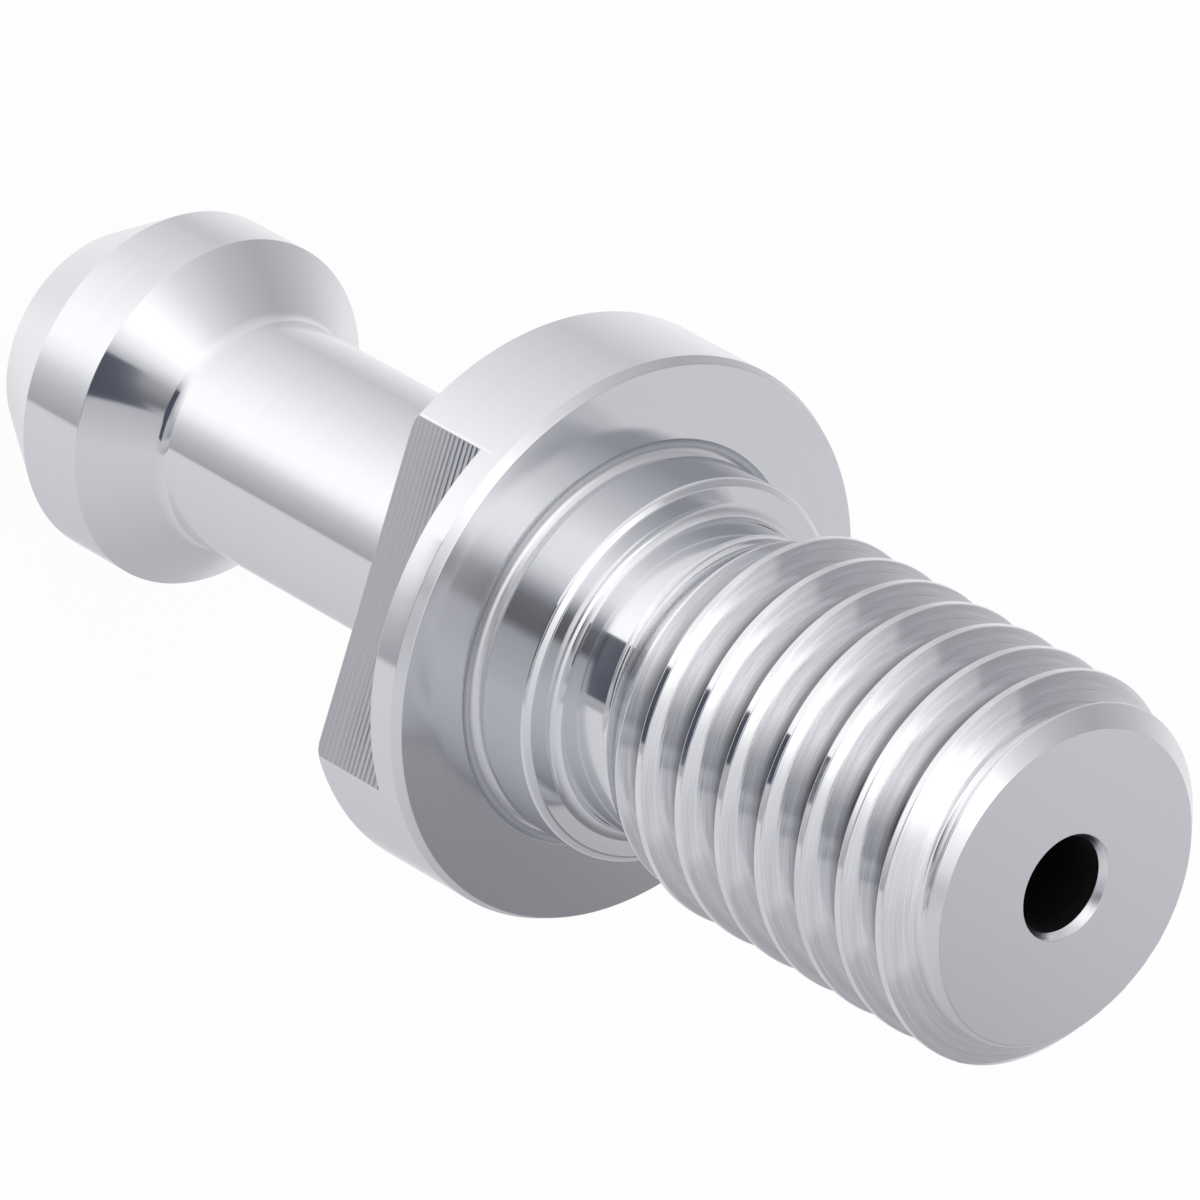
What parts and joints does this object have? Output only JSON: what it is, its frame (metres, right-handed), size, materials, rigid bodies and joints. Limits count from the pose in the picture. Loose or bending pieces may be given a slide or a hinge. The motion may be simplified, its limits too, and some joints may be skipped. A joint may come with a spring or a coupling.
{
  "type": "pull stud",
  "caption": "Turned steel pull stud: threaded shank with pilot, flange with two wrench flats, slim neck and coned pull head, bored through.",
  "frame": {"origin": "centre of the head's flat end face, on which the stud stands", "axes": "+Z along the stud's axis from the head to the thread's tip; the two wrench flats face -Y and +Y"},
  "size_m": [0.0238, 0.0238, 0.0582],
  "materials": {
    "steel": "bright turned and ground steel, fine turning lines, milled wrench flats"
  },
  "bodies": {
    "root": {"pull_stud": "steel"}
  },
  "joints": []
}
